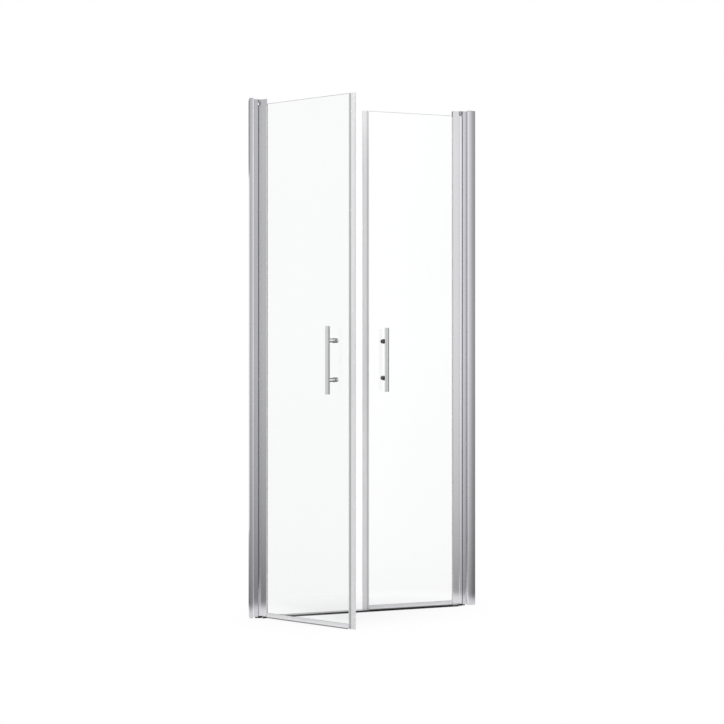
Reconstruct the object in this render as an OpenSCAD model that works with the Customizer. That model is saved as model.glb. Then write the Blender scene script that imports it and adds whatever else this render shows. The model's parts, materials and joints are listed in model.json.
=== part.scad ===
// Niche shower door: two pendulum glass leaves between two wall channels.
// Millimetres. +Z is up, -Y faces the room and +Y faces the shower.
// The origin lies on the floor, midway between the two pivot axes.

/* [Door] */
// Height of the wall channels and frame profiles
door_h = 1920; // [1700:5:2200]
// Distance between the two pivot axes
pivot_span = 777; // [640:1:1000]
// Gap between the two meeting edges when both leaves are closed
meeting_gap = 2; // [1.5:0.5:5]
// How far the left leaf stands open toward the room, in degrees
left_open = 35; // [0:1:80]
// How far the right leaf stands open toward the room, in degrees
right_open = 0; // [0:1:80]

/* [Wall channels] */
// Depth of the left channel, from the wall to its lips
left_channel_w = 16.5; // [12:0.5:30]
// Depth of the right channel, which takes up the width of the niche
right_channel_w = 31.5; // [12:0.5:40]
// Size of a channel from its room side to its shower side
channel_d = 46; // [40:1:60]
// Thickness of the channel walls
channel_t = 1.8; // [1.5:0.1:2.2]
// Radius of the gently curved room face and shower face of a channel
face_r = 140; // [120:5:200]
// Slope of these faces at the lips, in degrees
face_lean = 4; // [2:0.5:5]
// Outer corner radius of a channel beside the wall
channel_r = 2.6; // [2.3:0.1:3]
// Outer corner radius of a channel along its lips
lip_r = 1.2; // [0.8:0.1:1.6]
// Radius of the round bead along each lip
bead_r = 1.6; // [1.2:0.1:2]
// Number of screws that hold a channel to the wall
wall_screw_n = 3; // [2:1:5]
// Diameter of the wall screw holes
wall_screw_d = 5; // [4:0.5:6]
// Height of the lowest wall screw, and of the highest below the top
wall_screw_end = 160; // [100:10:300]
// Thickness of the cap on a channel
channel_cap_t = 2; // [1.5:0.5:3]
// Height of the lower ends of the channels and frame profiles above the floor
profile_foot = 6; // [4:0.5:7]

/* [Frame profiles] */
// Width of the frame profile that shows beside the hinge
neck_show = 16; // [15:0.5:30]
// Size of the neck from front to back
neck_d = 18; // [17:0.5:20]
// Wall thickness of the neck
neck_t = 1.6; // [1.2:0.1:2]
// Wall thickness behind the round groove for the hinge knuckle
groove_wall = 2; // [1.5:0.1:3]
// Length of the legs that slide inside the channel
foot_l = 5.5; // [4:0.5:6]
// Thickness of the sliding foot
foot_t = 1.5; // [1.2:0.1:1.8]
// Number of screws that clamp the frame profile in the channel
clamp_n = 3; // [2:1:5]
// Shank diameter of a clamp screw
clamp_d = 3.5; // [3:0.5:4]

/* [Hinges] */
// Radius of the hinge knuckle
knuckle_r = 9; // [8.5:0.1:9.5]
// Wall thickness of the knuckle
knuckle_t = 1.8; // [1.4:0.1:2.2]
// Thickness of the arm that grips the glass
arm_t = 13; // [12:0.1:13]
// Distance from the pivot axis to the flat in front of and behind the knuckle
knuckle_flat = 7.9; // [7.7:0.1:8.3]
// Slope of these flats toward the glass, in degrees
flat_lean = 4; // [0:0.5:6]
// Reach of the arm from the pivot axis
arm_l = 31.5; // [24:0.5:40]
// Wall thickness of the arm
arm_wall = 2.1; // [1.6:0.1:2.5]
// Diameter of the pivot pins
pin_d = 6; // [5:0.5:7]
// Length of a pivot pin inside the hinge profile
pin_bite = 40; // [25:5:60]
// Height of the upper hinge cap
cap_h = 24; // [22:0.5:32]
// How far the upper hinge cap stands past the arm
cap_proud = 1; // [0.5:0.5:6]
// Thickness of a pivot eye
eye_h = 7; // [6:0.5:9]
// Thickness of the lower hinge cap and of the upper cap's eye
cap_plate = 4; // [3:0.5:5]
// Wall thickness of the plastic bushes
bush_t = 2; // [1.5:0.1:2.2]
// Thickness of a bush flange
bush_flange_t = 1.2; // [0.8:0.1:1.5]
// Depth of the pivot blocks inside the frame profile
block_l = 30; // [20:1:45]
// Thickness of the cover plate of the upper pivot block
cover_t = 2; // [1.5:0.5:3]

/* [Glass] */
// Thickness of the glass
glass_t = 5; // [4:0.5:6]
// Drop from the top of the frame to the top of the glass
glass_drop = 18; // [15:0.5:21]
// Height of the lower edge of the glass above the floor
glass_foot = 14; // [13.5:0.5:20]
// Depth of the glass inside the hinge profile
glass_bite = 12; // [9:0.5:13]
// Thickness of the gasket lips that cover the end of the arm
gasket_lip = 1; // [0.6:0.1:1.5]

/* [Seals] */
// Thickness of the seal walls
seal_t = 1.2; // [0.9:0.1:1.4]
// Overlap of the edge seal on the glass
edge_grip = 13.5; // [9:0.5:15]
// Reach of the magnet chamber past the glass
edge_reach = 11; // [9:0.5:14]
// Size of the magnet chamber from front to back
edge_d = 11; // [10:0.5:12]
// Height that the drip seal covers on the glass
drip_grip = 7; // [5:0.5:12]
// Reach of the drip lip in front of the glass
drip_reach = 6; // [4:0.5:9]
// Height of the lowest seal edge above the threshold
drip_gap = 0.7; // [0.5:0.1:2]

/* [Handles] */
// Length of a pull bar
bar_l = 240; // [180:5:400]
// Diameter of a pull bar
bar_d = 16; // [12:1:20]
// Distance between the two posts of a bar
post_span = 140; // [100:5:300]
// Diameter of the posts
post_d = 14; // [12:1:16]
// Distance from the middle of the glass to the middle of the bar
bar_off = 56; // [45:1:60]
// Height of the middle of the bar above the floor
bar_z = 956; // [850:1:1100]
// Distance from the meeting edge of the leaf to the bar
bar_edge = 82; // [50:1:110]
// Diameter of the studs through the glass
stud_d = 6; // [5:0.5:7]
// Depth of a stud in a post or knob
stud_bite = 11; // [8:0.5:14]
// Diameter of the inner knobs
knob_d = 16; // [14:1:20]
// Length of the inner knobs
knob_l = 21; // [18:1:24]

/* [Threshold] */
// Width of the threshold from front to back
sill_d = 26; // [22:1:40]
// Height of the threshold
sill_h = 4.5; // [4:0.1:6]
// Thickness of the threshold skin
sill_t = 1.4; // [1.2:0.1:1.6]
// Thinnest part of an end plug, between the threshold and the eye
sill_plug_t = 1.5; // [1:0.5:3]

/* [Clearances] */
// Gap between the knuckle and its round groove
knuckle_gap = 0.5; // [0.4:0.1:0.8]
// Gap between a fully opened leaf and the neck
swing_gap = 0.8; // [0.6:0.1:1.2]
// Gap between profiles that slide in each other
slide_gap = 0.3; // [0.2:0.05:0.4]
// Gap round pieces that are pressed or glued in
seat_gap = 0.05; // [0.02:0.01:0.1]
// Radial running gap of a pin in its bush
pin_run = 0.05; // [0.03:0.01:0.09]
// Running gap between the lower hinge cap and its bush
cap_run = 0.3; // [0.3:0.1:0.6]

/* [Hidden] */
$fn = 64;
wide_fn = 720; // steps round the wide arcs of the channel faces
cut = 1; // how far a cutting solid stands past the face that it cuts

half_span = pivot_span / 2;
leaf_l = half_span - meeting_gap / 2;

// How far a curved face has fallen from its crest at the distance w from the lips
function drop(w) = face_r - sqrt(pow(face_r, 2) - pow(w - face_r * sin(face_lean), 2));

groove_r = knuckle_r + knuckle_gap;
neck_x = arm_t / 2 + swing_gap;           // end face of the neck
lip_x = neck_x + neck_show;               // face of the channel lips
chamber_x = groove_r + groove_wall;       // near end of the neck chamber
foot_x = lip_x + channel_t + slide_gap;   // front face of the sliding foot
face_drop = max(drop(0), drop(max(left_channel_w, right_channel_w)));
cavity_d = channel_d - 2 * (face_drop + channel_t);
cavity_r = max(channel_r - channel_t, slide_gap);
foot_d = cavity_d - 2 * slide_gap;
foot_round = cavity_r / 2;
neck_in = neck_d - 2 * neck_t;
mouth_gap = 1.2;                          // between a lip and the neck
mouth_d = neck_d + 2 * mouth_gap;
bead_lap = 0.3;                           // cut off a bead at the mouth
bead_sink = 0.4;                          // middle of a bead behind the lip's face
profile_top = door_h - channel_cap_t;

rib_w = 1.2;                              // locating ribs inside the neck
rib_h = 1;
rib_x = (chamber_x + foot_x) / 2;

eye_top = door_h - cover_t;
eye_low = eye_top - eye_h;                // lower face of the upper eye
foot_lift = 0.5;                          // lower eye stands clear of the floor
foot_eye_top = foot_lift + eye_h;
bush_r = pin_d / 2 + bush_t;
flange_w = 1.5;                           // of a bush flange
pin_end_gap = 1;                          // between a pin and its cover or floor
cap_z = foot_eye_top + bush_flange_t + cap_run;
hinge_z0 = cap_z + cap_plate;
hinge_z1 = door_h - cap_h;
cap_top_gap = 0.5;
cap_eye_inset = 1;                        // of the upper cap's eye, behind the knuckle's skin
cap_face_r = groove_r + swing_gap / 2;    // hollow end of the upper cap
cap_round = 2;
boss_r = pin_d / 2 + knuckle_t;
neck_bridge = 1.3;                        // between the block's bridge and the neck walls
notch_gap = 1;                            // above and below an eye in its notch

slot_in = arm_t - 2 * arm_wall;           // width of the glass slot
glass_x0 = arm_l - glass_bite;
glass_x1 = leaf_l - edge_reach;
glass_z1 = door_h - glass_drop;
slot_end_gap = 2;                         // between the glass and the slot floor
slot_x = arm_l - glass_bite - slot_end_gap;
key_d = 0.8;                              // gasket keys in the slot walls
key_w = 2;
key_x = slot_x + key_w * 3;
hinge_web = 1.6;                          // webs between the knuckle and the pin boss
arm_round = 1.5;

grub_d = 4;
grub_in = 16;                             // grub screws, from the profile's ends
grub_sink = 1;                            // grub screws sit below the knuckle's flat

seal_foot = sill_h + drip_gap;
lip_t = 0.8;                              // soft lips of the drip seal
seal_round = 1.5;
magnet_wall = 1;                          // walls of the magnet chamber
magnet_inset = 4;                         // magnet strip, from the seal's ends
magnet_x0 = glass_x1 + seal_t + magnet_wall;
magnet_x1 = leaf_l - magnet_wall;
magnet_d = edge_d - 4 * magnet_wall;

handle_x = leaf_l - bar_edge;
post_z = [bar_z - post_span / 2, bar_z + post_span / 2];
washer_t = 1;
washer_d = 18;
glass_hole_d = 12;
glass_face = glass_t / 2;
handle_face = glass_face + washer_t;      // where the posts and knobs stand
spigot_d = 8;                             // of a post in the bar
spigot_l = 4;
bore_end = 0.5;                           // room at the end of a blind bore
bar_round = 1.5;
knob_round = 3;

sill_hug = 3;                             // how far an end plug reaches round the eye
sill_l = pivot_span - 2 * (knuckle_r + seat_gap + sill_plug_t);
sill_edge = 0.6;                          // bevel along the threshold's upper edges
tape_d = 7;
tape_t = 0.8;
sill_peg = 10;                            // end plugs inside the threshold

wall_screw_z = spread(wall_screw_n, wall_screw_end, door_h - wall_screw_end);
clamp_end = wall_screw_end + 60;          // clamp screws clear the wall screws
clamp_z = spread(clamp_n, clamp_end, door_h - clamp_end);
clamp_x = -(foot_x + foot_t + foot_l / 2);
clamp_tip = 3;                            // clamp screws past the foot
clamp_head_h = 2;
clamp_sink = 1;                           // flat seat of a clamp screw's head, below the face
clamp_seat = channel_d / 2 - clamp_sink;
bridge_l = 6;                             // from a block into its eye
block_screw_d = 3;
block_screw_x = -(chamber_x + rib_x) / 2;
block_screw_z = [foot_lift + block_l / 2, eye_top - block_l / 2];
block_head_h = 1.6;

alu = [0.70, 0.70, 0.72];
alu_dark = [0.58, 0.58, 0.60];
chrome = [0.82, 0.83, 0.85];
steel = [0.60, 0.61, 0.63];
grey_plastic = [0.66, 0.66, 0.68];
white_plastic = [0.93, 0.93, 0.94];
clear_seal = [0.90, 0.92, 0.93, 0.7];
clear_glass = [0.80, 0.90, 0.92, 0.35];
magnet_grey = [0.85, 0.85, 0.86];
rubber_grey = [0.50, 0.51, 0.53];

// Placing: each side is drawn about its pivot axis, with the leaf along +x
module left_side() { translate([-half_span, 0, 0]) children(); }
module right_side() { translate([half_span, 0, 0]) mirror([1, 0, 0]) children(); }
module left_leaf() { left_side() rotate([0, 0, -left_open]) children(); }
module right_leaf() { right_side() rotate([0, 0, -right_open]) children(); }

// Shared shapes
module span_2d(x0, x1, d) { translate([x0, -d / 2]) square([x1 - x0, d]); }

module round_2d(x0, x1, d, r) {
    span_2d(x0 + r, x1 - r, d);
    span_2d(x0, x1, d - 2 * r);
    for (x = [x0 + r, x1 - r], s = [-1, 1])
        translate([x, s * (d / 2 - r)]) circle(r);
}

// Outline of a channel: its room and shower faces are crowned near the lips and fall to the wall
module crowned_2d(w) {
    wall_x = -(lip_x + w);
    crest_x = -lip_x - face_r * sin(face_lean);
    face_y = channel_d / 2 - face_r;
    ends = [[wall_x + channel_r, channel_r], [-lip_x - lip_r, lip_r]];
    side_y = [for (e = ends) face_y + sqrt(pow(face_r - e[1], 2) - pow(e[0] - crest_x, 2))];
    touch_x = [for (e = ends) crest_x + (e[0] - crest_x) * face_r / (face_r - e[1])];
    for (i = [0, 1], s = [-1, 1]) translate([ends[i][0], s * side_y[i]]) circle(ends[i][1]);
    span_2d(wall_x, (wall_x - lip_x) / 2, 2 * side_y[0]);
    span_2d((wall_x - lip_x) / 2, -lip_x, 2 * side_y[1]);
    for (s = [-1, 1]) intersection() {
        translate([crest_x, s * face_y]) circle(face_r, $fn = wide_fn);
        translate([touch_x[0], (s - 1) * channel_d / 2]) square([touch_x[1] - touch_x[0], channel_d]);
    }
}

// Two equal strips, on the room side and on the shower side of the middle
module pair_2d(x0, x1, y0, y1) {
    for (y = [y0, -y1]) translate([x0, y]) square([x1 - x0, y1 - y0]);
}

module raised(z0, z1) { translate([0, 0, z0]) linear_extrude(z1 - z0) children(); }

// A round bar along y, from y0 to y1
module rod_y(x, z, y0, y1, d) {
    translate([x, y0, z]) rotate([-90, 0, 0]) cylinder(h = y1 - y0, d = d);
}

function spread(n, low, high) = [for (i = [0:n - 1]) low + (high - low) * i / (n - 1)];

// Wall channels
module channel_2d(w) {
    bead_y = mouth_d / 2 + bead_r - bead_lap;
    difference() {
        union() {
            crowned_2d(w);
            for (s = [-1, 1]) translate([-lip_x - bead_sink, s * bead_y]) circle(bead_r);
        }
        round_2d(-(lip_x + w - channel_t), -(lip_x + channel_t), cavity_d, cavity_r);
        span_2d(-(lip_x + channel_t + cut), -lip_x + bead_r + cut, mouth_d);
    }
}

module wall_channel(w) {
    color(alu)
    difference() {
        raised(profile_foot, profile_top) channel_2d(w);
        for (z = wall_screw_z)
            translate([-(lip_x + w + cut), 0, z])
                rotate([0, 90, 0]) cylinder(h = channel_t + 2 * cut, d = wall_screw_d);
        for (z = clamp_z) {
            rod_y(clamp_x, z, foot_d / 2, channel_d / 2 + cut, clamp_d + 2 * seat_gap);
            rod_y(clamp_x, z, clamp_seat, channel_d / 2 + cut, 2 * (clamp_d + slide_gap));
        }
    }
}

module channel_cap(w) {
    plug_l = 8;
    plug_t = 1.2;
    plug_x = -(lip_x + w - channel_t - seat_gap);
    plug_y = foot_d / 2 - foot_t - slide_gap;
    color(grey_plastic) {
        raised(profile_top, door_h) crowned_2d(w);
        raised(profile_top - plug_l, profile_top)
            pair_2d(plug_x, plug_x + plug_t, plug_y - plug_t, plug_y);
    }
}

module channel_gasket() {
    color(rubber_grey)
    raised(profile_foot, profile_top)
        pair_2d(-(lip_x + channel_t), -lip_x, neck_d / 2 + seat_gap, mouth_d / 2 - seat_gap);
}

// Frame profiles
// Locating ribs inside the neck, rooted in its walls
module rib_2d(gap) {
    pair_2d(-rib_x - rib_w / 2 - gap, -rib_x + rib_w / 2 + gap,
            neck_in / 2 - rib_h - gap, neck_in / 2 + neck_t / 2);
}

module frame_2d() {
    plate_x = -(foot_x + foot_t);
    difference() {
        union() {
            span_2d(plate_x, -neck_x, neck_d);
            round_2d(plate_x - foot_l, -foot_x, foot_d, foot_round);
        }
        span_2d(plate_x - foot_l - cut, plate_x, foot_d - 2 * foot_t);
        difference() {
            span_2d(-foot_x, -chamber_x, neck_in);
            rib_2d(0);
        }
        circle(groove_r);
    }
}

module frame_profile() {
    color(alu)
    difference() {
        raised(profile_foot, profile_top) frame_2d();
        raised(eye_low - notch_gap, door_h) span_2d(-chamber_x - cut, 0, neck_in);
        raised(-cut, foot_eye_top + notch_gap) span_2d(-chamber_x - cut, 0, neck_in);
        for (z = clamp_z)
            rod_y(clamp_x, z, foot_d / 2 - foot_t - cut, foot_d / 2 + cut, clamp_d + 2 * seat_gap);
        for (z = block_screw_z)
            rod_y(block_screw_x, z, neck_in / 2 - cut, neck_d / 2 + cut,
                  block_screw_d + 2 * seat_gap);
    }
}

// A screw along y from its tip y0 to the seat y1 of its head
module screw_y(x, z, y0, y1, d, head_h) {
    rod_y(x, z, y0, y1 + seat_gap, d);
    rod_y(x, z, y1 + seat_gap, y1 + seat_gap + head_h, 2 * d);
}

module clamp_screws() {
    color(steel)
    for (z = clamp_z)
        screw_y(clamp_x, z, foot_d / 2 - foot_t - clamp_tip, clamp_seat, clamp_d,
                clamp_head_h);
}

// Pivot blocks in the ends of the neck
module block_plug_2d() {
    difference() {
        span_2d(-foot_x + seat_gap, -chamber_x - seat_gap, neck_in - 2 * seat_gap);
        rib_2d(slide_gap);
    }
}

module eye_2d() {
    span_2d(-chamber_x - bridge_l, 0, neck_in - 2 * neck_bridge);
    circle(knuckle_r);
}

module block_bores(eye_z0, eye_z1) {
    translate([0, 0, eye_z0 - cut]) cylinder(h = eye_z1 - eye_z0 + 2 * cut, r = bush_r + seat_gap);
    for (z = block_screw_z)
        rod_y(block_screw_x, z, -cut, neck_in / 2 + cut, block_screw_d + 2 * seat_gap);
}

module top_pivot_block() {
    color(alu_dark)
    difference() {
        union() {
            raised(eye_top - block_l, profile_top) block_plug_2d();
            raised(eye_low, eye_top) eye_2d();
            raised(profile_top, door_h) span_2d(-lip_x + slide_gap, -neck_x, neck_d);
            raised(eye_top, door_h) circle(knuckle_r);
        }
        block_bores(eye_low, eye_top - cut);
    }
}

module bottom_pivot_block() {
    color(alu_dark)
    difference() {
        union() {
            raised(profile_foot, foot_lift + block_l) block_plug_2d();
            raised(foot_lift, foot_eye_top) eye_2d();
        }
        block_bores(foot_lift, foot_eye_top);
    }
}

module bush(z0, z1, flange_z) {
    color(white_plastic)
    difference() {
        union() {
            translate([0, 0, z0]) cylinder(h = z1 - z0, r = bush_r);
            translate([0, 0, flange_z]) cylinder(h = bush_flange_t, r = bush_r + flange_w);
        }
        translate([0, 0, z0 - cut]) cylinder(h = z1 - z0 + 2 * cut, d = pin_d + 2 * pin_run);
    }
}

module top_bush() { bush(eye_low - bush_flange_t, eye_top - seat_gap, eye_low - bush_flange_t); }
module bottom_bush() { bush(foot_lift, foot_eye_top + bush_flange_t, foot_eye_top); }

module block_screws() {
    color(steel)
    for (z = block_screw_z)
        screw_y(block_screw_x, z, 0, neck_d / 2, block_screw_d, block_head_h);
}

// Threshold
module sill_outline() {
    half = sill_d / 2;
    polygon([[-half, 0], [-half, sill_h - sill_edge], [sill_edge - half, sill_h],
             [half - sill_edge, sill_h], [half, sill_h - sill_edge], [half, 0]]);
}

module sill_hollow(gap) {
    half = sill_d / 2 - 2 * sill_t - gap;
    translate([-half, sill_t + gap]) square([2 * half, sill_h - 2 * (sill_t + gap)]);
}

module along_x(x0, x1) {
    translate([x0, 0, 0]) rotate([90, 0, 90]) linear_extrude(x1 - x0) children();
}

module threshold_profile() {
    color(alu)
    along_x(-sill_l / 2, sill_l / 2) difference() {
        sill_outline();
        sill_hollow(0);
        for (s = [-1, 1]) translate([s * sill_d / 4 - tape_d / 2, -cut])
            square([tape_d, tape_t + cut]);
    }
}

module threshold_end_plugs() {
    color(grey_plastic)
    for (s = [0, 1]) mirror([s, 0, 0]) {
        difference() {
            along_x(sill_l / 2, half_span - knuckle_r + sill_hug) sill_outline();
            translate([half_span, 0, -cut]) cylinder(h = sill_h + 2 * cut, r = knuckle_r + seat_gap);
        }
        along_x(sill_l / 2 - sill_peg, sill_l / 2) sill_hollow(seat_gap);
    }
}

module threshold_tape() {
    color(rubber_grey)
    along_x(-sill_l / 2, sill_l / 2)
        for (s = [-1, 1]) translate([s * sill_d / 4 - tape_d / 2 + seat_gap, 0])
            square([tape_d - 2 * seat_gap, tape_t - seat_gap]);
}

// Hinge profile of a leaf
// The knuckle with a sloping flat in front and behind, drawn the inset inside its skin
module knuckle_2d(inset) {
    difference() {
        circle(knuckle_r - inset);
        for (s = [0, 1]) mirror([0, s, 0]) rotate(-flat_lean)
            translate([-knuckle_r, knuckle_flat - inset]) square([2 * knuckle_r, knuckle_r]);
    }
}

module hinge_outline() {
    knuckle_2d(0);
    round_2d(0, arm_l, arm_t, arm_round);
}

module hinge_2d() {
    difference() {
        hinge_outline();
        difference() {
            knuckle_2d(knuckle_t);
            circle(boss_r);
            span_2d(-knuckle_r, knuckle_r, hinge_web);
            span_2d(-hinge_web / 2, hinge_web / 2, 2 * knuckle_r);
        }
        circle(d = pin_d + 2 * seat_gap);
        span_2d(slot_x, arm_l + cut, slot_in);
        span_2d(key_x, key_x + key_w, slot_in + 2 * key_d);
    }
}

grub_z = [hinge_z0 + grub_in, hinge_z1 - grub_in];

module hinge_profile() {
    color(alu)
    difference() {
        raised(hinge_z0, hinge_z1) hinge_2d();
        for (z = grub_z) rod_y(0, z, 0, knuckle_r + cut, grub_d + 2 * seat_gap);
    }
}

module grub_screws() {
    color(steel)
    for (z = grub_z) rod_y(0, z, pin_d / 2 + seat_gap, knuckle_flat - grub_sink, grub_d);
}

module top_hinge_cap() {
    body_x = arm_l + cap_proud;
    color(alu)
    difference() {
        union() {
            raised(hinge_z1, door_h - cap_top_gap) difference() {
                round_2d(0, body_x, arm_t, cap_round);
                circle(cap_face_r);
            }
            raised(hinge_z1, hinge_z1 + cap_plate) {
                knuckle_2d(cap_eye_inset);
                span_2d(0, cap_face_r + cut, arm_t);
            }
        }
        raised(hinge_z1 - cut, glass_z1 + slide_gap)
            span_2d(glass_x0 - slide_gap, body_x + cut, glass_t + 2 * seat_gap);
        translate([0, 0, hinge_z1 - cut])
            cylinder(h = cap_plate + 2 * cut, d = pin_d + 2 * seat_gap);
    }
}

module bottom_hinge_cap() {
    color(white_plastic)
    difference() {
        raised(cap_z, hinge_z0) hinge_outline();
        translate([0, 0, cap_z - cut])
            cylinder(h = cap_plate + 2 * cut, d = pin_d + 2 * seat_gap);
    }
}

module pin(z0, z1) {
    color(steel) translate([0, 0, z0]) cylinder(h = z1 - z0, d = pin_d);
}

module top_pin() { pin(hinge_z1 - pin_bite, eye_top - pin_end_gap); }
module bottom_pin() { pin(foot_lift + pin_end_gap, hinge_z0 + pin_bite); }

// Glass and seals
module glazing_gasket() {
    color(rubber_grey)
    raised(glass_foot, hinge_z1) difference() {
        union() {
            span_2d(slot_x + seat_gap, arm_l + gasket_lip, slot_in - 2 * seat_gap);
            span_2d(arm_l + seat_gap, arm_l + gasket_lip, arm_t - 2 * arm_round);
            span_2d(key_x + seat_gap, key_x + key_w - seat_gap, slot_in + 2 * (key_d - seat_gap));
        }
        span_2d(glass_x0 - seat_gap, arm_l + gasket_lip + cut, glass_t + 2 * seat_gap);
    }
}

module glass() {
    color(clear_glass)
    difference() {
        raised(glass_foot, glass_z1) span_2d(glass_x0, glass_x1, glass_t);
        for (z = post_z) rod_y(handle_x, z, -glass_t, glass_t, glass_hole_d);
    }
}

module edge_seal_2d() {
    clip_x = glass_x1 - edge_grip;
    clip_d = glass_t + 2 * (seat_gap + seal_t);
    difference() {
        union() {
            span_2d(clip_x, glass_x1 + seal_t, clip_d);
            round_2d(glass_x1, leaf_l, edge_d, seal_round);
        }
        span_2d(clip_x - cut, glass_x1 + seat_gap, glass_t + 2 * seat_gap);
        span_2d(magnet_x0 - seat_gap, magnet_x1 + seat_gap, magnet_d + 2 * seat_gap);
    }
}

module edge_seal() { color(clear_seal) raised(seal_foot, glass_z1) edge_seal_2d(); }

module edge_magnet() {
    color(magnet_grey)
    raised(seal_foot + magnet_inset, glass_z1 - magnet_inset)
        span_2d(magnet_x0, magnet_x1, magnet_d);
}

function both_halves(half) =
    concat(half, [for (i = [len(half) - 1:-1:0]) [-half[i][0], half[i][1]]]);

// Section of the drip seal: a clip on the glass, two sloping lips and a middle wiper.
// First value away from the middle of the glass, second value up.
module drip_2d() {
    grip = glass_face + seat_gap;
    out = grip + seal_t;
    slot_z = glass_foot - seat_gap;
    polygon(both_halves([
        [grip, slot_z],
        [grip, slot_z + drip_grip],
        [out, slot_z + drip_grip - seal_t],
        [out, slot_z],
        [out + drip_reach, seal_foot + lip_t],
        [out + drip_reach - lip_t, seal_foot],
        [grip, slot_z - seal_t],
        [lip_t, slot_z - seal_t],
        [lip_t / 2, seal_foot]
    ]));
}

module drip_seal() {
    color(clear_seal)
    along_x(arm_l + gasket_lip + slide_gap, glass_x1 - edge_grip - slide_gap) drip_2d();
}

// Handles
module bar_outline() {
    r = bar_d / 2;
    difference() {
        square([r, bar_l]);
        for (y = [0, bar_l - bar_round])
            translate([r - bar_round, y]) square([bar_round + cut, bar_round]);
    }
    for (y = [bar_round, bar_l - bar_round])
        intersection() {
            translate([r - bar_round, y]) circle(bar_round);
            square([r, bar_l]);
        }
}

module pull_bar() {
    floor_y = bar_d / 2 - spigot_l - bore_end;
    color(chrome)
    difference() {
        translate([handle_x, -bar_off, bar_z - bar_l / 2]) rotate_extrude() bar_outline();
        for (z = post_z)
            rod_y(handle_x, z, -bar_off + floor_y, -bar_off + bar_d, spigot_d + 2 * seat_gap);
    }
}

// Posts: each one has a hollow seat for the bar with a spigot in its middle
module pull_posts() {
    color(chrome)
    for (z = post_z) difference() {
        union() {
            difference() {
                rod_y(handle_x, z, -bar_off, -handle_face - seat_gap, post_d);
                translate([handle_x, -bar_off, z - post_d])
                    cylinder(h = 2 * post_d, d = bar_d + 2 * seat_gap);
            }
            rod_y(handle_x, z, -bar_off + bar_d / 2 - spigot_l, -bar_off + bar_d, spigot_d);
        }
        rod_y(handle_x, z, -handle_face - stud_bite, 0, stud_d + 2 * seat_gap);
    }
}

// One washer on each face of the glass, each with a sleeve in the glass hole
module handle_washers() {
    color(white_plastic)
    for (z = post_z, s = [0, 1]) translate([handle_x, 0, z]) rotate([s * 180 - 90, 0, 0])
        difference() {
            union() {
                translate([0, 0, glass_face]) cylinder(h = washer_t, d = washer_d);
                translate([0, 0, seat_gap])
                    cylinder(h = handle_face - seat_gap, d = glass_hole_d - 2 * seat_gap);
            }
            cylinder(h = handle_face + cut, d = stud_d + 2 * seat_gap);
        }
}

module handle_studs() {
    reach = handle_face + stud_bite - bore_end;
    color(steel)
    for (z = post_z) rod_y(handle_x, z, -reach, reach, stud_d);
}

module knob_outline() {
    r = knob_d / 2;
    square([r, knob_l - knob_round]);
    square([r - knob_round, knob_l]);
    translate([r - knob_round, knob_l - knob_round]) circle(knob_round);
}

module inner_knobs() {
    color(chrome)
    for (z = post_z) difference() {
        translate([handle_x, handle_face + seat_gap, z])
            rotate([-90, 0, 0]) rotate_extrude() knob_outline();
        rod_y(handle_x, z, 0, handle_face + stud_bite, stud_d + 2 * seat_gap);
    }
}

left_side() wall_channel(left_channel_w);  // left_wall_channel
left_side() channel_cap(left_channel_w);  // left_channel_cap
left_side() channel_gasket();  // left_channel_gasket
left_side() frame_profile();  // left_frame_profile
left_side() clamp_screws();  // left_clamp_screws
left_side() top_pivot_block();  // left_top_pivot_block
left_side() bottom_pivot_block();  // left_bottom_pivot_block
left_side() top_bush();  // left_top_bush
left_side() bottom_bush();  // left_bottom_bush
left_side() block_screws();  // left_block_screws
right_side() wall_channel(right_channel_w);  // right_wall_channel
right_side() channel_cap(right_channel_w);  // right_channel_cap
right_side() channel_gasket();  // right_channel_gasket
right_side() frame_profile();  // right_frame_profile
right_side() clamp_screws();  // right_clamp_screws
right_side() top_pivot_block();  // right_top_pivot_block
right_side() bottom_pivot_block();  // right_bottom_pivot_block
right_side() top_bush();  // right_top_bush
right_side() bottom_bush();  // right_bottom_bush
right_side() block_screws();  // right_block_screws
threshold_profile();
threshold_end_plugs();
threshold_tape();
left_leaf() hinge_profile();  // left_hinge_profile
left_leaf() top_hinge_cap();  // left_top_hinge_cap
left_leaf() bottom_hinge_cap();  // left_bottom_hinge_cap
left_leaf() top_pin();  // left_top_pin
left_leaf() bottom_pin();  // left_bottom_pin
left_leaf() grub_screws();  // left_grub_screws
left_leaf() glazing_gasket();  // left_glazing_gasket
left_leaf() glass();  // left_glass
left_leaf() edge_seal();  // left_edge_seal
left_leaf() edge_magnet();  // left_edge_magnet
left_leaf() drip_seal();  // left_drip_seal
left_leaf() pull_bar();  // left_pull_bar
left_leaf() pull_posts();  // left_pull_posts
left_leaf() handle_washers();  // left_handle_washers
left_leaf() handle_studs();  // left_handle_studs
left_leaf() inner_knobs();  // left_inner_knobs
right_leaf() hinge_profile();  // right_hinge_profile
right_leaf() top_hinge_cap();  // right_top_hinge_cap
right_leaf() bottom_hinge_cap();  // right_bottom_hinge_cap
right_leaf() top_pin();  // right_top_pin
right_leaf() bottom_pin();  // right_bottom_pin
right_leaf() grub_screws();  // right_grub_screws
right_leaf() glazing_gasket();  // right_glazing_gasket
right_leaf() glass();  // right_glass
right_leaf() edge_seal();  // right_edge_seal
right_leaf() edge_magnet();  // right_edge_magnet
right_leaf() drip_seal();  // right_drip_seal
right_leaf() pull_bar();  // right_pull_bar
right_leaf() pull_posts();  // right_pull_posts
right_leaf() handle_washers();  // right_handle_washers
right_leaf() handle_studs();  // right_handle_studs
right_leaf() inner_knobs();  // right_inner_knobs
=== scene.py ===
import json
import math

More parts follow.
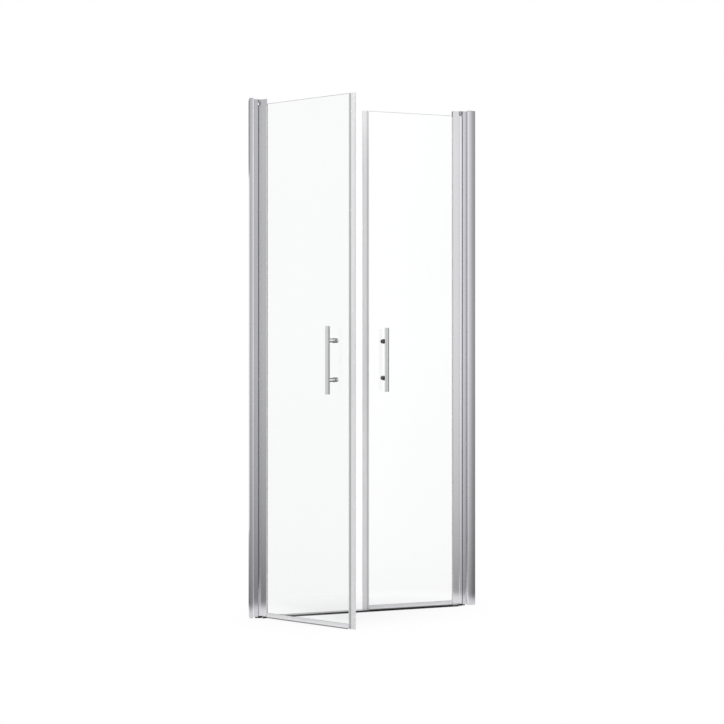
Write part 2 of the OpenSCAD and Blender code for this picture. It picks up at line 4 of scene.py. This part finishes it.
import bpy
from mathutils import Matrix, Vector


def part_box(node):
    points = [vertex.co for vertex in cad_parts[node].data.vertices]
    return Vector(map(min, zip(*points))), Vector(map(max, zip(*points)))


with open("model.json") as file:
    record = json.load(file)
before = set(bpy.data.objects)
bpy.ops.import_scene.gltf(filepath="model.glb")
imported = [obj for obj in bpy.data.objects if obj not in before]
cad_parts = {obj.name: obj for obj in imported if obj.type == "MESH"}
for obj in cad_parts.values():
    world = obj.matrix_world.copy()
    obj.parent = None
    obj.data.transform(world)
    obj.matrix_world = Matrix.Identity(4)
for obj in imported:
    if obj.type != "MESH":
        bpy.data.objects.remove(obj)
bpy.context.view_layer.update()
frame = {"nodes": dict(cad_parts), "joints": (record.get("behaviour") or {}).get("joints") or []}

scene = bpy.context.scene
nodes = frame["nodes"]

# The camera stands 3.3 m in front of the door, left of its middle, and looks level. Its place is in
# metres, its turn in degrees, its lens and sensor in millimetres.
CAM_AT = (-0.6661, -3.2314, 0.983)
CAM_YAW = -11.625
CAM_LENS = 43.165
CAM_SENSOR = 36.0
CAM_SHIFT_Y = -0.01293

# The strength of the plain light that comes from all round.
WORLD_LIGHT = 0.8

# The soft lamp above the left front: its sides, its place, its tilt and turn in degrees, and watts.
LAMP_SIZE = (2.4, 1.8)
LAMP_AT = (-1.4, -1.9, 3.1)
LAMP_TILT = 40
LAMP_TURN = -36
LAMP_POWER = 26.0

# The oval floor: half its length and half its depth, the share of them from which it fades out, how
# much of its shading the camera sees in its middle, and the number of corners of its rim.
FLOOR_REACH = (0.64, 0.29)
FLOOR_FADE = 0.72
FLOOR_SHADING = 0.22
FLOOR_CORNERS = 96
FLOOR_LIGHT = (0.93, 0.93, 0.935)
FLOOR_DARK = (0.90, 0.90, 0.905)

# The screens that stand round the door as in a studio. Only metal and gloss mirror them, also
# through the glass. How far off they stand, the height of their middle, and their shell's faces:
SCREEN_REACH = 30.0
SCREEN_MIDDLE = 0.95
SCREEN_COLUMNS = 120
SCREEN_ROWS = 34
# How bright they are all round: the direction, in degrees from the front (-Y) to the right (+X),
# and the brightness there.
STUDIO_ROUND = [
    (-180, 0.90), (-150, 0.90), (-120, 1.00), (-100, 1.00), (-65, 0.64), (-40, 0.62),
    (-15, 0.62), (-1, 0.62), (4, 0.66), (8, 0.88), (12, 1.35), (16, 1.08), (20, 0.92),
    (24, 0.68), (28, 0.51), (34, 0.40), (40, 0.34), (60, 0.26), (75, 0.20), (104, 0.20),
    (110, 1.30), (127, 1.30), (132, 0.10), (142, 0.10), (150, 0.60), (180, 0.90),
]
# How this changes from low to high: the sine of the angle above the horizon, and a factor. In front
# of the door the screens have a dim strip low down, and behind it they are dark above and below the
# opening.
FRONT_UP = [
    (-0.70, 0.85), (-0.45, 0.60), (-0.33, 0.34), (-0.29, 0.40), (-0.254, 0.55), (-0.233, 0.65),
    (-0.212, 0.70), (-0.18, 0.75), (-0.146, 0.80), (-0.055, 0.92), (0.02, 1.0), (0.17, 1.0),
    (0.26, 1.1), (0.60, 0.75), (0.75, 0.60), (0.995, 0.60),
]
BACK_UP = [
    (-0.70, 0.70), (-0.55, 0.40), (-0.42, 0.12), (-0.30, 0.12), (-0.23, 0.45), (-0.16, 1.0),
    (0.18, 1.0), (0.23, 0.06), (0.44, 0.06), (0.60, 0.55), (0.995, 0.60),
]
# The directions, in degrees to either side, between which the front's factors turn to the back's.
BACK_FROM, BACK_FULL = 138, 150
# The sines, up or down, between which the directions lose their difference, and the brightness that
# is then the same all round.
EVEN_FROM, EVEN_TO, EVEN = 0.38, 0.60, 0.70
# The opening behind the door, where the white background shows: beyond this direction in degrees,
# and up to this sine above and below the horizon.
OPENING_TURN = 150
OPENING = 0.22
# The dark flag behind the door, in the same terms, and its brightness. Only metal that mirrors
# through the glass shows it.
FLAG_TURN = 140
FLAG = 0.46
FLAG_LEVEL = 0.03

# How many waves a metre the noises have: the drawn lines of extruded metal, across and along them,
# and the cloudiness over them, then a cast or moulded surface, wiped chrome, float glass and vinyl.
LINES, LINES_ALONG = 1700, 5
CLOUD = (14, 14, 3)
GRAIN, TURNED_GRAIN = 2600, 3500
BROAD = (40, 40, 40)
HAZE = (60, 60, 60)
WAVE = (6, 6, 2.5)
MILK = (90, 90, 20)
# How deep the drawn lines and the grain are, and the waves of the glass, in metres.
FINE_DEPTH = 0.0001
WAVE_DEPTH = 0.001
# Nearly all of a noise lies between these values.
NOISE_FROM, NOISE_TO = 0.2, 0.8

# The tones and roughnesses that several pieces share or that change on one piece.
SATIN_LIGHT = (0.645, 0.645, 0.68)
SATIN_DARK = (0.605, 0.605, 0.64)
SATIN_ROUGH = 0.16
# A near-white painted highlight along the rounded lips of the wall channels.
LIP_PAINTED_HIGHLIGHT = (0.97, 0.97, 0.98)
SILL_ROUGH, TREAD_ROUGH = 0.16, 0.36
SEAL_CLEAR = (0.97, 0.97, 0.985)
SEAL_MILKY = (0.93, 0.93, 0.945)
SEAL_ROUGH = 0.22
# Painted shade: the grey along the folds of the edge seals.
FOLD_PAINTED_SHADE = (0.46, 0.47, 0.48)
# Painted shade: the near black along the lower lip of the drip seals.
DRIP_PAINTED_SHADE = (0.16, 0.16, 0.165)

# Where the looks change on a piece, and over which distance, in metres: the painted highlight,
# behind the front of the channel's lips; the painted shade of the fold, beyond the inner edge of the
# edge seal; the painted shade of the drip seal's lip, above its lowest edge; and the tread, behind
# the front of the threshold, where the painted shade of its front gives way to a painted reflection.
HIGHLIGHT_FROM, HIGHLIGHT_TO, HIGHLIGHT_SOFT = 0.0004, 0.0036, 0.0003
FOLD_FROM, FOLD_TO, FOLD_SOFT = 0.0025, 0.0092, 0.0006
DRIP_LIP, DRIP_SOFT = 0.0033, 0.0004
TREAD_FROM, TREAD_SOFT = 0.0075, 0.0005
# How much of the painted shade the folds of the two edge seals and the lips of the drip seals take.
# The left leaf stands open and its fold is seen from its side, so it takes more.
FOLD_SHADE_SHARE = {"left": 0.85, "right": 0.55}
DRIP_SHADE_SHARE = 0.9


# Helpers for the node trees
class Graph:
    """Adds nodes to a tree and sets or links their inputs, by name or as i0, i1 and so on. A colour
    is red, green and blue."""

    def __init__(self, owner):
        owner.use_nodes = True
        self.tree = owner.node_tree
        self.tree.nodes.clear()

    def node(self, kind, props=None, **inputs):
        made = self.tree.nodes.new("ShaderNode" + kind)
        for key, value in (props or {}).items():
            setattr(made, key, value)
        for key, value in inputs.items():
            which = int(key[1:]) if key[1:].isdigit() else key.replace("_", " ")
            socket = made.inputs[which]
            if isinstance(value, bpy.types.NodeSocket):
                self.tree.links.new(value, socket)
            elif socket.type == "RGBA":
                socket.default_value = (*value, 1.0)
            else:
                socket.default_value = value
        return made

    def out(self, kind, props=None, **inputs):
        return self.node(kind, props, **inputs).outputs[0]

    def math(self, operation, a, b=0.0):
        return self.out("Math", {"operation": operation}, i0=a, i1=b)

    def axis(self, vector, letter):
        return self.node("SeparateXYZ", i0=vector).outputs[letter]

    def scaled(self, value, low, high, to_low=0.0, to_high=1.0, how="LINEAR"):
        """Low gives to_low, high gives to_high, and the value stays between these two."""
        ends = {"From_Min": low, "From_Max": high, "To_Min": to_low, "To_Max": to_high}
        return self.out("MapRange", {"interpolation_type": how}, Value=value, **ends)

    def ramp(self, value, stops):
        """A curve through the stops, each a place and a level, from the first place to the last."""
        low, high = stops[0][0], stops[-1][0]
        made = self.node("ValToRGB", i0=self.scaled(value, low, high))
        points = made.color_ramp.elements
        while len(points) < len(stops):
            points.new(0.5)
        for point, (place, level) in zip(points, stops):
            point.position = (place - low) / (high - low)
            point.color = (*grey(level), 1.0)
        return made.outputs[0]

    def mix(self, share, a, b):
        return self.node("Mix", {"data_type": "RGBA"}, i0=share, i6=a, i7=b).outputs[2]


def grey(level):
    return (level, level, level)


# World, floor, screens, lamp and camera
def background_rays(g):
    """1 for the rays that look at the background: from the camera, off metal and through glass.
    The outputs of the Light Path node come with it."""
    ray = g.node("LightPath").outputs
    seen = g.math("MAXIMUM", ray["Is Camera Ray"], ray["Is Transmission Ray"])
    return g.math("MAXIMUM", seen, ray["Is Glossy Ray"]), ray


def make_world():
    """A white background, and plain white light on the object."""
    scene.world = bpy.data.worlds.new("studio")
    g = Graph(scene.world)
    seen, _ = background_rays(g)
    plain = g.out("Background", Color=grey(1.0), Strength=WORLD_LIGHT)
    white = g.out("Background", Color=grey(1.0), Strength=1.0)
    g.node("OutputWorld", Surface=g.out("MixShader", i0=seen, i1=plain, i2=white))


def stage_mesh(name, points, faces, material):
    mesh = bpy.data.meshes.new(name)
    mesh.from_pydata(points, [], faces)
    mesh.materials.append(material)
    piece = bpy.data.objects.new(name, mesh)
    scene.collection.objects.link(piece)
    return piece


def floor_material():
    """Pale and matt. The camera sees it near white, with some of its shading toward its middle."""
    material = bpy.data.materials.new("floor")
    g = Graph(material)
    seen, ray = background_rays(g)
    place = g.node("TexCoord").outputs["Object"]
    shares = g.out("Mapping", Vector=place, Scale=(1 / FLOOR_REACH[0], 1 / FLOOR_REACH[1], 1.0))
    far = g.node("VectorMath", {"operation": "LENGTH"}, i0=shares).outputs["Value"]
    grain = g.out("TexNoise", Vector=place, Scale=3.0, Detail=4.0)
    matte = g.out("BsdfDiffuse", Color=g.mix(grain, FLOOR_DARK, FLOOR_LIGHT), Roughness=0.5)
    white = g.out("Emission", Color=grey(1.0), Strength=1.0)
    near = g.scaled(far, 0.0, 1.0, FLOOR_SHADING, 0.0, "SMOOTHSTEP")
    fade = g.scaled(far, FLOOR_FADE, 1.0, 1.0, 0.0, "SMOOTHSTEP")
    keep = g.math("MAXIMUM", near, g.math("SUBTRACT", 1.0, seen))
    shown = g.out("MixShader", i0=keep, i1=white, i2=matte)
    solid = g.math("MAXIMUM", fade, ray["Is Diffuse Ray"])
    clear = g.out("BsdfTransparent")
    g.node("OutputMaterial", Surface=g.out("MixShader", i0=solid, i1=clear, i2=shown))
    return material


def make_floor():
    """An oval pale floor that fades out into the white background and keeps a soft shadow."""
    turns = [2 * math.pi * i / FLOOR_CORNERS for i in range(FLOOR_CORNERS)]
    rim = [(FLOOR_REACH[0] * math.cos(a), FLOOR_REACH[1] * math.sin(a), 0.0) for a in turns]
    stage_mesh("floor", rim, [tuple(range(FLOOR_CORNERS))], floor_material())


def screens_material():
    """The glow of the screens by direction, for rays that have left metal or gloss. Behind the door
    it leaves the opening, and the flag stands there for rays that have also passed the glass."""
    material = bpy.data.materials.new("screens")
    g = Graph(material)
    place = g.node("TexCoord").outputs["Object"]
    aim = g.out("VectorMath", {"operation": "NORMALIZE"}, i0=place)
    up = g.axis(aim, "Z")
    turn = g.math("ARCTAN2", g.axis(aim, "X"), g.math("MULTIPLY", g.axis(aim, "Y"), -1.0))
    to_side = g.math("ABSOLUTE", turn)
    steep = g.math("ABSOLUTE", up)
    around = g.ramp(turn, [(math.radians(angle), level) for angle, level in STUDIO_ROUND])
    even = g.mix(g.scaled(steep, EVEN_FROM, EVEN_TO), around, grey(EVEN))
    to_back = g.scaled(to_side, math.radians(BACK_FROM), math.radians(BACK_FULL))
    upward = g.mix(to_back, g.ramp(up, FRONT_UP), g.ramp(up, BACK_UP))

    def behind(from_turn, within):
        """1 beyond this direction on either side, up to this sine above and below the horizon."""
        beyond = g.math("GREATER_THAN", to_side, math.radians(from_turn))
        return g.math("MULTIPLY", beyond, g.math("LESS_THAN", steep, within))

    path = g.node("LightPath").outputs
    off_metal = g.math("GREATER_THAN", path["Glossy Depth"], 0.5)
    through_glass = g.math("GREATER_THAN", path["Transmission Depth"], 0.5)
    flag = g.math("MULTIPLY", behind(FLAG_TURN, FLAG), through_glass)
    level = g.mix(flag, g.math("MULTIPLY", even, upward), grey(FLAG_LEVEL))
    closed = g.math("MAXIMUM", g.math("SUBTRACT", 1.0, behind(OPENING_TURN, OPENING)), flag)
    shown = g.math("MULTIPLY", off_metal, closed)
    clear = g.out("BsdfTransparent")
    glow = g.out("Emission", Color=level)
    g.node("OutputMaterial", Surface=g.out("MixShader", i0=shown, i1=clear, i2=glow))
    material.cycles.emission_sampling = "NONE"
    return material


def make_screens():
    """The shell of screens far round the door, a part of a sphere."""
    low, high = FRONT_UP[0][0], FRONT_UP[-1][0]
    points, faces = [], []
    for i in range(SCREEN_COLUMNS + 1):
        turn = 2 * math.pi * i / SCREEN_COLUMNS - math.pi
        for j in range(SCREEN_ROWS + 1):
            up = low + (high - low) * j / SCREEN_ROWS
            wide = SCREEN_REACH * math.sqrt(1 - up * up)
            points.append((wide * math.sin(turn), -wide * math.cos(turn), SCREEN_REACH * up))
    column = SCREEN_ROWS + 1
    for i in range(SCREEN_COLUMNS):
        for j in range(SCREEN_ROWS):
            at = i * column + j
            faces.append((at, at + 1, at + column + 1, at + column))
    screens = stage_mesh("screens", points, faces, screens_material())
    screens.location = (0.0, 0.0, SCREEN_MIDDLE)
    screens.visible_camera = screens.visible_diffuse = False
    screens.visible_shadow = screens.visible_volume_scatter = False


def make_lamp():
    """One soft lamp, which neither metal nor glass shows."""
    light = bpy.data.lights.new("soft_box", "AREA")
    light.shape = "RECTANGLE"
    light.size, light.size_y = LAMP_SIZE
    light.energy = LAMP_POWER
    lamp = bpy.data.objects.new("soft_box", light)
    lamp.location = LAMP_AT
    lamp.rotation_euler = (math.radians(LAMP_TILT), 0, math.radians(LAMP_TURN))
    lamp.visible_glossy = lamp.visible_transmission = lamp.visible_camera = False
    scene.collection.objects.link(lamp)


def make_camera():
    data = bpy.data.cameras.new("camera")
    data.lens = CAM_LENS
    data.sensor_width = CAM_SENSOR
    data.shift_y = CAM_SHIFT_Y
    camera = bpy.data.objects.new("camera", data)
    camera.location = CAM_AT
    camera.rotation_euler = (math.radians(90), 0, math.radians(CAM_YAW))
    scene.collection.objects.link(camera)
    scene.camera = camera


# Where the looks change on a piece
def band(g, value, low, high, soft):
    """1 between low and high, and 0 outside, with soft edges."""
    rise = g.scaled(value, low - soft, low + soft)
    fall = g.scaled(value, high - soft, high + soft)
    return g.math("SUBTRACT", rise, fall)


def painted_lip_highlight(g, place):
    """The rounded edges of the wall channels' lips, which face the leaves, where a highlight is
    painted.
    """
    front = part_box("right_wall_channel")[0].x
    across = g.math("ABSOLUTE", g.axis(place, "X"))
    return band(g, across, front + HIGHLIGHT_FROM, front + HIGHLIGHT_TO, HIGHLIGHT_SOFT)


def painted_fold_shade_of(side):
    """Painted shade where the two flanks of an edge seal bend over the edge of the glass, measured
    on
    its leaf: along the line from the pivot to the middle of the glass. The closed right leaf lies
    along X."""
    pivots = {joint["child"]: joint["pos_m"] for joint in frame["joints"]}
    pivot = pivots[f"{side}_leaf"]
    low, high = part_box(f"{side}_glass")
    along = (low + high) / 2
    along.x -= pivot[0]
    along.z = 0.0
    along.normalize()
    inner_edge = pivots["right_leaf"][0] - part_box("right_edge_seal")[1].x

    def shade(g, place):
        from_pivot = g.out("VectorMath", {"operation": "SUBTRACT"}, i0=place, i1=pivot)
        reach = g.node("VectorMath", {"operation": "DOT_PRODUCT"}, i0=from_pivot, i1=along)
        fold = band(g, reach.outputs["Value"], inner_edge + FOLD_FROM, inner_edge + FOLD_TO,
                    FOLD_SOFT)
        return g.math("MULTIPLY", fold, FOLD_SHADE_SHARE[side])
    return shade


def lower_lip_shade(g, place):
    """The lip along the lower edge of the drip seals, where near-black shade is painted."""
    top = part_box("right_drip_seal")[0].z + DRIP_LIP
    return g.scaled(g.axis(place, "Z"), top - DRIP_SOFT, top + DRIP_SOFT, DRIP_SHADE_SHARE, 0.0)


def tread_of_threshold(g, place):
    """The level top of the threshold, behind its front edge, where the painted shade of the front
    gives way to the painted reflection.
    """
    level = g.math("GREATER_THAN", g.axis(g.node("NewGeometry").outputs["Normal"], "Z"), 0.5)
    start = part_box("threshold_profile")[0].y + TREAD_FROM
    behind = g.scaled(g.axis(place, "Y"), start, start + TREAD_SOFT)
    return g.math("MULTIPLY", level, behind)


# Materials
def new_material(name):
    """A material, its graph, and the place on the part in the part's own coordinates."""
    material = bpy.data.materials.new(name)
    g = Graph(material)
    return material, g, g.node("TexCoord").outputs["Object"]


def finish_material(g, volume=None, **inputs):
    ends = {"Surface": g.out("BsdfPrincipled", **inputs)}
    if volume is not None:
        ends["Volume"] = volume
    g.node("OutputMaterial", **ends)


def stretched_noise(g, place, scale, detail=3.0):
    """A noise with this many waves a metre along X, Y and Z."""
    at = g.out("Mapping", Vector=place, Scale=scale)
    return g.out("TexNoise", Vector=at, Scale=1.0, Detail=detail, Roughness=0.6)


def uneven(g, rough, *noises):
    """A roughness near this value. Each noise comes with what it adds at its lowest and highest."""
    for noise, at_low, at_high in noises:
        rough = g.math("ADD", rough, g.scaled(noise, NOISE_FROM, NOISE_TO, at_low, at_high))
    return rough


def anodised(name, light, dark, rough, bright=None):
    """Extruded and anodised aluminium: hair-fine lines along its length and a faint cloudiness.
    The bright mask says where a highlight is painted on the metal along an edge."""
    material, g, place = new_material(name)
    lines = stretched_noise(g, place, (LINES, LINES, LINES_ALONG), detail=2.0)
    cloud = stretched_noise(g, place, CLOUD)
    tone = g.mix(g.math("MULTIPLY", g.math("ADD", lines, cloud), 0.5), dark, light)
    # Painted highlight: the near-white tone where the bright mask lies.
    if bright:
        tone = g.mix(bright(g, place), tone, LIP_PAINTED_HIGHLIGHT)
    shine = uneven(g, rough, (lines, -0.03, 0.05), (cloud, -0.03, 0.03))
    bump = g.out("Bump", Strength=0.10, Distance=FINE_DEPTH, Height=lines)
    finish_material(g, Base_Color=tone, Metallic=1.0, Roughness=shine, Normal=bump)
    return material


def sill(name):
    """Anodised aluminium, brushed along its length. Its front is painted near black as shade, and
    its level top, the tread, is painted light as a reflection of the pale floor, duller and less
    metallic.
    """
    material, g, place = new_material(name)
    lines = stretched_noise(g, place, (LINES_ALONG, LINES, LINES), detail=2.0)
    tread = tread_of_threshold(g, place)
    # Painted shade on the front and a painted reflection on the tread.
    front_painted_shade = g.mix(lines, (0.03, 0.03, 0.032), (0.05, 0.05, 0.053))
    tread_painted_reflection = g.mix(lines, (0.88, 0.88, 0.885), (0.93, 0.93, 0.935))
    tone = g.mix(tread, front_painted_shade, tread_painted_reflection)
    metal = g.scaled(tread, 0.0, 1.0, to_low=1.0, to_high=0.2)
    rough = g.scaled(tread, 0.0, 1.0, SILL_ROUGH, TREAD_ROUGH)
    shine = uneven(g, rough, (lines, 0.0, 0.06))
    bump = g.out("Bump", Strength=0.10, Distance=FINE_DEPTH, Height=lines)
    finish_material(g, Base_Color=tone, Metallic=metal, Roughness=shine, Normal=bump)
    return material


def grained(name, light, dark, rough, metallic=0.0, grain=GRAIN):
    """A cast, turned or moulded surface with a fine grain."""
    material, g, place = new_material(name)
    fine = stretched_noise(g, place, (grain, grain, grain), detail=2.0)
    broad = stretched_noise(g, place, BROAD)
    tone = g.mix(broad, dark, light)
    shine = uneven(g, rough, (fine, -0.05, 0.05), (broad, -0.04, 0.04))
    bump = g.out("Bump", Strength=0.12, Distance=FINE_DEPTH, Height=fine)
    finish_material(g, Base_Color=tone, Metallic=metallic, Roughness=shine, Normal=bump)
    return material


def polished(name):
    """Chrome plate, with the faint haze of wiping."""
    material, g, place = new_material(name)
    haze = stretched_noise(g, place, HAZE)
    shine = g.scaled(haze, 0.3, 0.8, to_low=0.05, to_high=0.09)
    tone = g.mix(haze, (0.86, 0.87, 0.88), (0.90, 0.905, 0.91))
    finish_material(g, Base_Color=tone, Metallic=1.0, Roughness=shine)
    return material


def clear_glass(name):
    """Float glass: clear through its thickness, faintly green along its edges, and barely wavy."""
    material, g, place = new_material(name)
    wave = stretched_noise(g, place, WAVE, detail=1.0)
    bump = g.out("Bump", Strength=0.02, Distance=WAVE_DEPTH, Height=wave)
    tint = g.mix(wave, (0.978, 0.982, 0.982), (0.986, 0.990, 0.990))
    body = g.out("VolumeAbsorption", Color=(0.80, 0.90, 0.88), Density=2.0)
    finish_material(g, body, Base_Color=tint, Roughness=0.0, IOR=1.5, Transmission_Weight=1.0,
                    Normal=bump)
    return material


def vinyl(name, tint, milky, rough, through, dark=None, shade=None):
    """Soft clear vinyl, a little cloudy. The shade, from 0 to 1, says where painted shade in the
    dark tone lies.
    """
    material, g, place = new_material(name)
    cloud = stretched_noise(g, place, MILK)
    tone = g.mix(cloud, tint, milky)
    if shade:
        # Painted shade: the dark tone where the shade mask lies.
        tone = g.mix(shade(g, place), tone, dark)
    shine = g.scaled(cloud, 0.25, 0.75, to_low=rough - 0.05, to_high=rough + 0.07)
    finish_material(g, Base_Color=tone, Roughness=shine, IOR=1.25, Transmission_Weight=through)
    return material


def seal(name, through, dark, shade):
    """The vinyl of the edge and drip seals, with painted shade where the shade mask says."""
    return vinyl(name, SEAL_CLEAR, SEAL_MILKY, SEAL_ROUGH, through, dark, shade)


MATERIALS = {
    # The channel's metal carries a painted highlight along its lips.
    "channel": anodised("channel_aluminium", SATIN_LIGHT, SATIN_DARK, SATIN_ROUGH, painted_lip_highlight),
    "profile": anodised("satin_aluminium", SATIN_LIGHT, SATIN_DARK, SATIN_ROUGH),
    "hinge": anodised("hinge_aluminium", (0.73, 0.73, 0.755), (0.69, 0.69, 0.715), rough=0.15),
    # The threshold is painted near black on its front as shade and light on its top as a reflection.
    "threshold": sill("threshold_aluminium"),
    "cast": grained("cast_metal", (0.62, 0.62, 0.635), (0.56, 0.56, 0.575), 0.34, metallic=1.0),
    # A copy of the cast metal painted near black as shade, for the dark under the hinges.
    "dark_cast": grained("dark_cast", (0.065, 0.065, 0.07), (0.045, 0.045, 0.05), 0.36,
                         metallic=1.0),
    "steel": grained("steel", (0.60, 0.60, 0.61), (0.54, 0.54, 0.55), 0.28, metallic=1.0,
                     grain=TURNED_GRAIN),
    "grey_plastic": grained("grey_plastic", (0.44, 0.45, 0.46), (0.39, 0.40, 0.41), 0.48),
    "white_plastic": grained("white_plastic", (0.93, 0.93, 0.935), (0.89, 0.89, 0.895), 0.42),
    "rubber": grained("grey_rubber", (0.56, 0.565, 0.575), (0.50, 0.505, 0.515), 0.62),
    "magnet": grained("magnet_strip", (0.86, 0.86, 0.87), (0.80, 0.80, 0.81), 0.5),
    "clear_rubber": vinyl("clear_rubber", (0.985, 0.985, 0.985), (0.96, 0.965, 0.965), 0.30,
                          through=0.0),
    "washer": vinyl("clear_washer", (0.84, 0.845, 0.85), (0.78, 0.785, 0.79), 0.25,
                    through=0.75),
    # The edge seals carry painted shade along their folds, stronger on the open left leaf.
    "left_seal": seal("clear_seal_left", 0.25, FOLD_PAINTED_SHADE, painted_fold_shade_of("left")),
    "right_seal": seal("clear_seal_right", 0.12, FOLD_PAINTED_SHADE, painted_fold_shade_of("right")),
    # The drip seals carry painted shade along their lower lip.
    "drip": seal("clear_drip", 0.15, DRIP_PAINTED_SHADE, lower_lip_shade),
    "chrome": polished("chrome"),
    "glass": clear_glass("clear_glass"),
}

# The material of each node, by the end of its name.
FINISH = {
    "wall_channel": "channel", "frame_profile": "profile", "threshold_profile": "threshold",
    "hinge_profile": "hinge", "top_hinge_cap": "hinge", "bottom_hinge_cap": "white_plastic",
    # The bottom pivot blocks take the cast metal with painted shade.
    "top_pivot_block": "cast", "bottom_pivot_block": "dark_cast",
    "channel_cap": "grey_plastic", "end_plugs": "grey_plastic", "bush": "white_plastic",
    "screws": "steel", "pin": "steel", "handle_studs": "steel",
    "channel_gasket": "rubber", "threshold_tape": "rubber", "glazing_gasket": "clear_rubber",
    "left_edge_seal": "left_seal", "right_edge_seal": "right_seal", "drip_seal": "drip",
    "edge_magnet": "magnet", "handle_washers": "washer",
    "pull_bar": "chrome", "pull_posts": "chrome", "inner_knobs": "chrome",
    "glass": "glass",
}


def dress_nodes():
    for name, obj in nodes.items():
        material = next(MATERIALS[FINISH[end]] for end in FINISH if name.endswith(end))
        for i in range(len(obj.data.materials)):
            obj.data.materials[i] = material


scene.view_settings.view_transform = "Standard"
make_camera()
make_world()
make_floor()
make_screens()
make_lamp()
dress_nodes()
